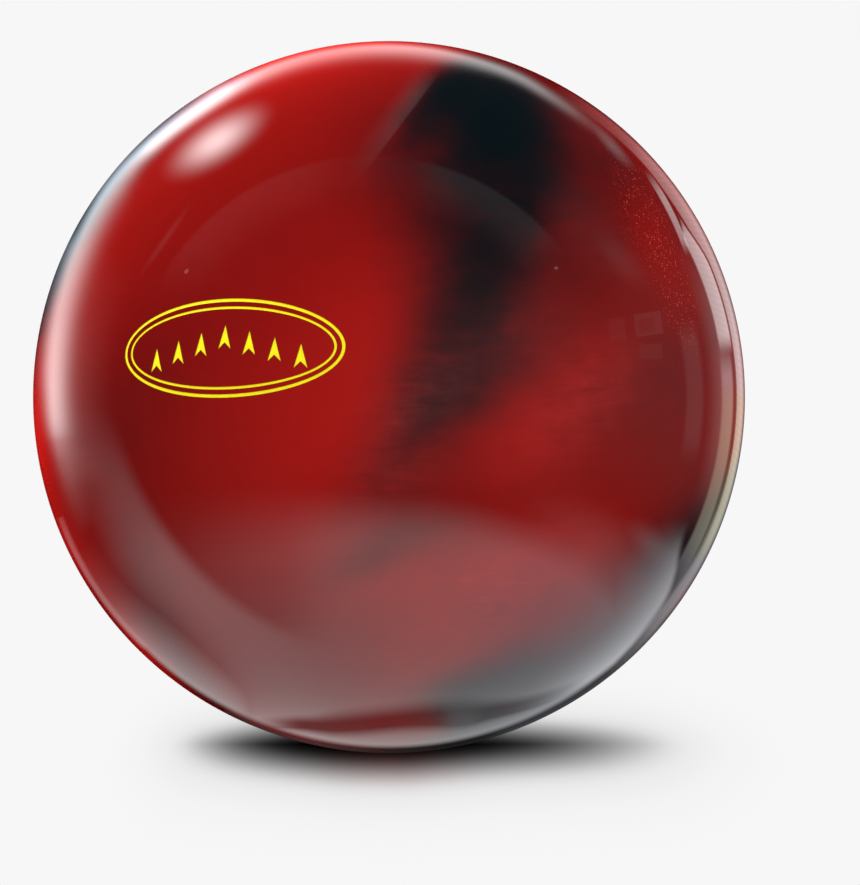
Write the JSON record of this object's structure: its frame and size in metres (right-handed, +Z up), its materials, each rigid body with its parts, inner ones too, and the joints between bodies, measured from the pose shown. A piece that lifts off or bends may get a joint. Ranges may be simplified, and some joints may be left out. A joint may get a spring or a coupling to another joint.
{
  "type": "bowling ball",
  "caption": "Undrilled ten-pin bowling ball: cast cover with engraved paint-filled oval badge over a light outer core and a dense turned weight block on a locator pin.",
  "frame": {"origin": "centre of the ball", "axes": "+Z up as the ball rests, -Y towards the side with the engraved badge, +X to the right when facing that side"},
  "size_m": [0.2172, 0.2172, 0.2172],
  "materials": {
    "cover_shell": "polished reactive urethane, red pearl swirled with near-black blue",
    "outer_core": "as-cast microballoon-filled resin",
    "weight_block": "as-cast barium-filled resin",
    "core_collar": "as-cast barium-filled resin",
    "density_slug": "as-cast heavy-filled resin",
    "locator_pin": "polished with the cover",
    "cg_marker": "pale paint",
    "badge_outer_ring": "yellow enamel paint",
    "badge_inner_ring": "yellow enamel paint",
    "badge_lane_arrows": "yellow enamel paint"
  },
  "bodies": {
    "root": {"cover_shell": "cover_shell", "outer_core": "outer_core", "weight_block": "weight_block", "core_collar": "core_collar", "density_slug": "density_slug", "locator_pin": "locator_pin", "cg_marker": "cg_marker", "badge_outer_ring": "badge_outer_ring", "badge_inner_ring": "badge_inner_ring", "badge_lane_arrows": "badge_lane_arrows"}
  },
  "joints": []
}
